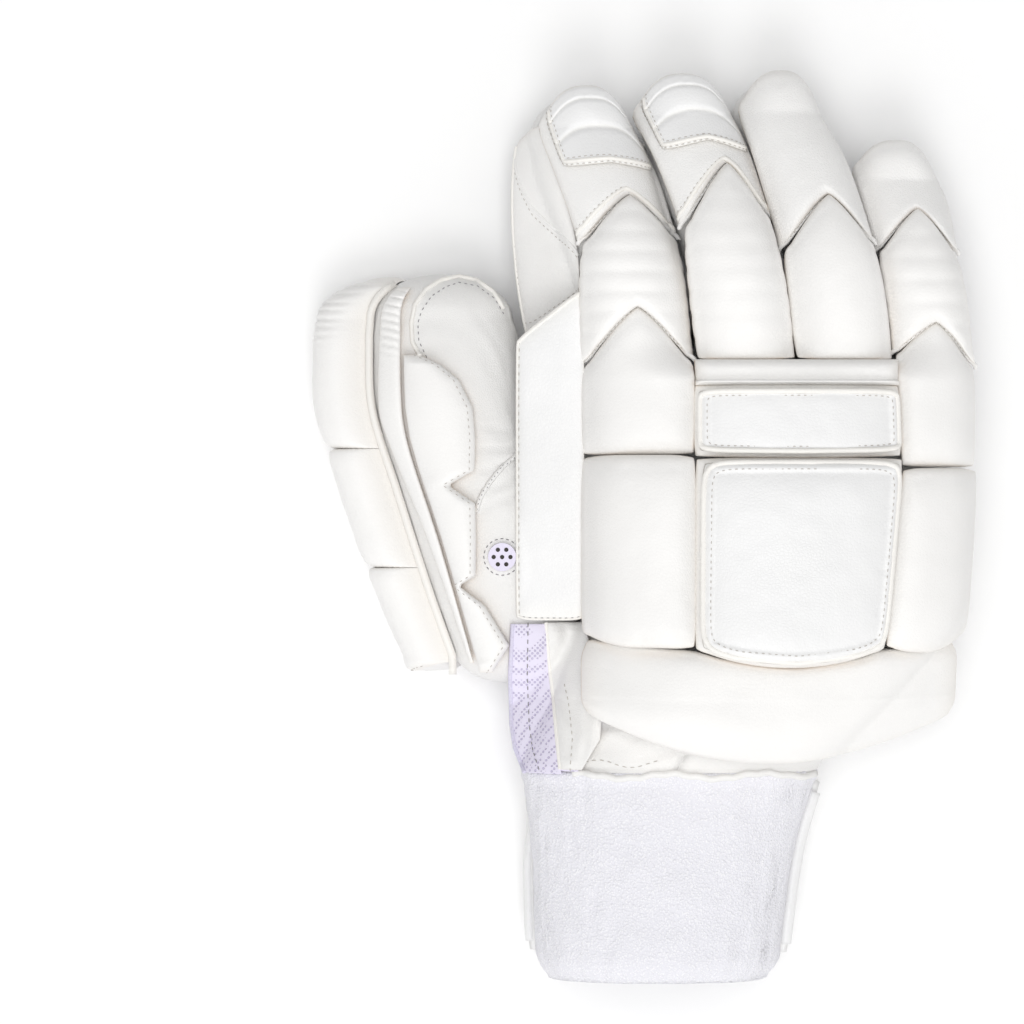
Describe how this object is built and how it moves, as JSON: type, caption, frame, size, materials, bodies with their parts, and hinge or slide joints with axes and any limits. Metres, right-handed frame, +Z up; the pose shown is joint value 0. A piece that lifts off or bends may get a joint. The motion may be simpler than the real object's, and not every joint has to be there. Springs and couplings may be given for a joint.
{
  "type": "cricket batting glove",
  "caption": "Right-hand cricket batting glove lying palm down: hollow leather hand, rolled finger and back pads, side thumb guard, towelling cuff and flat closing strap.",
  "frame": {"origin": "middle of the underside of the glove's bounding box, on the surface it lies on", "axes": "+Y from the wrist to the finger tips, +X toward the little finger's side, +Z up from the palm to the back of the hand"},
  "size_m": [0.215, 0.299, 0.0785],
  "materials": {
    "pad_leather": "smooth matt white pad leather",
    "patch_leather": "smooth cool white leather",
    "hide_leather": "fine grained white leather",
    "terry": "white towelling with a lavender tint",
    "mesh": "lavender white spacer mesh"
  },
  "bodies": {
    "root": {"back_pad_centre": "pad_leather", "back_pad_index": "pad_leather", "back_pad_little": "pad_leather", "back_patch": "patch_leather", "cuff": "terry", "hand_shell": "hide_leather", "heel_quilt": "hide_leather", "index_base_roll": "pad_leather", "index_cap_plate": "patch_leather", "index_mid_roll": "pad_leather", "index_side_panel": "hide_leather", "index_stall": "hide_leather", "index_tip_roll": "pad_leather", "knuckle_bar": "pad_leather", "knuckle_pad": "pad_leather", "knuckle_patch": "patch_leather", "little_base_roll": "pad_leather", "little_mid_roll": "pad_leather", "little_stall": "hide_leather", "little_tip_roll": "pad_leather", "middle_cap_plate": "patch_leather", "middle_roll": "pad_leather", "middle_stall": "hide_leather", "middle_tip_roll": "pad_leather", "ring_roll": "pad_leather", "ring_stall": "hide_leather", "ring_tip_roll": "pad_leather", "side_guard": "patch_leather", "side_gusset": "mesh", "strap": "patch_leather", "thumb_base_roll": "pad_leather", "thumb_gather_band": "pad_leather", "thumb_mid_roll": "pad_leather", "thumb_palm_mesh": "mesh", "thumb_side_pad": "pad_leather", "thumb_stall": "hide_leather", "thumb_tip_roll": "pad_leather", "thumb_vent": "mesh", "thumb_welt": "pad_leather", "wrist_roll": "pad_leather", "wrist_skirt": "hide_leather"}
  },
  "joints": []
}
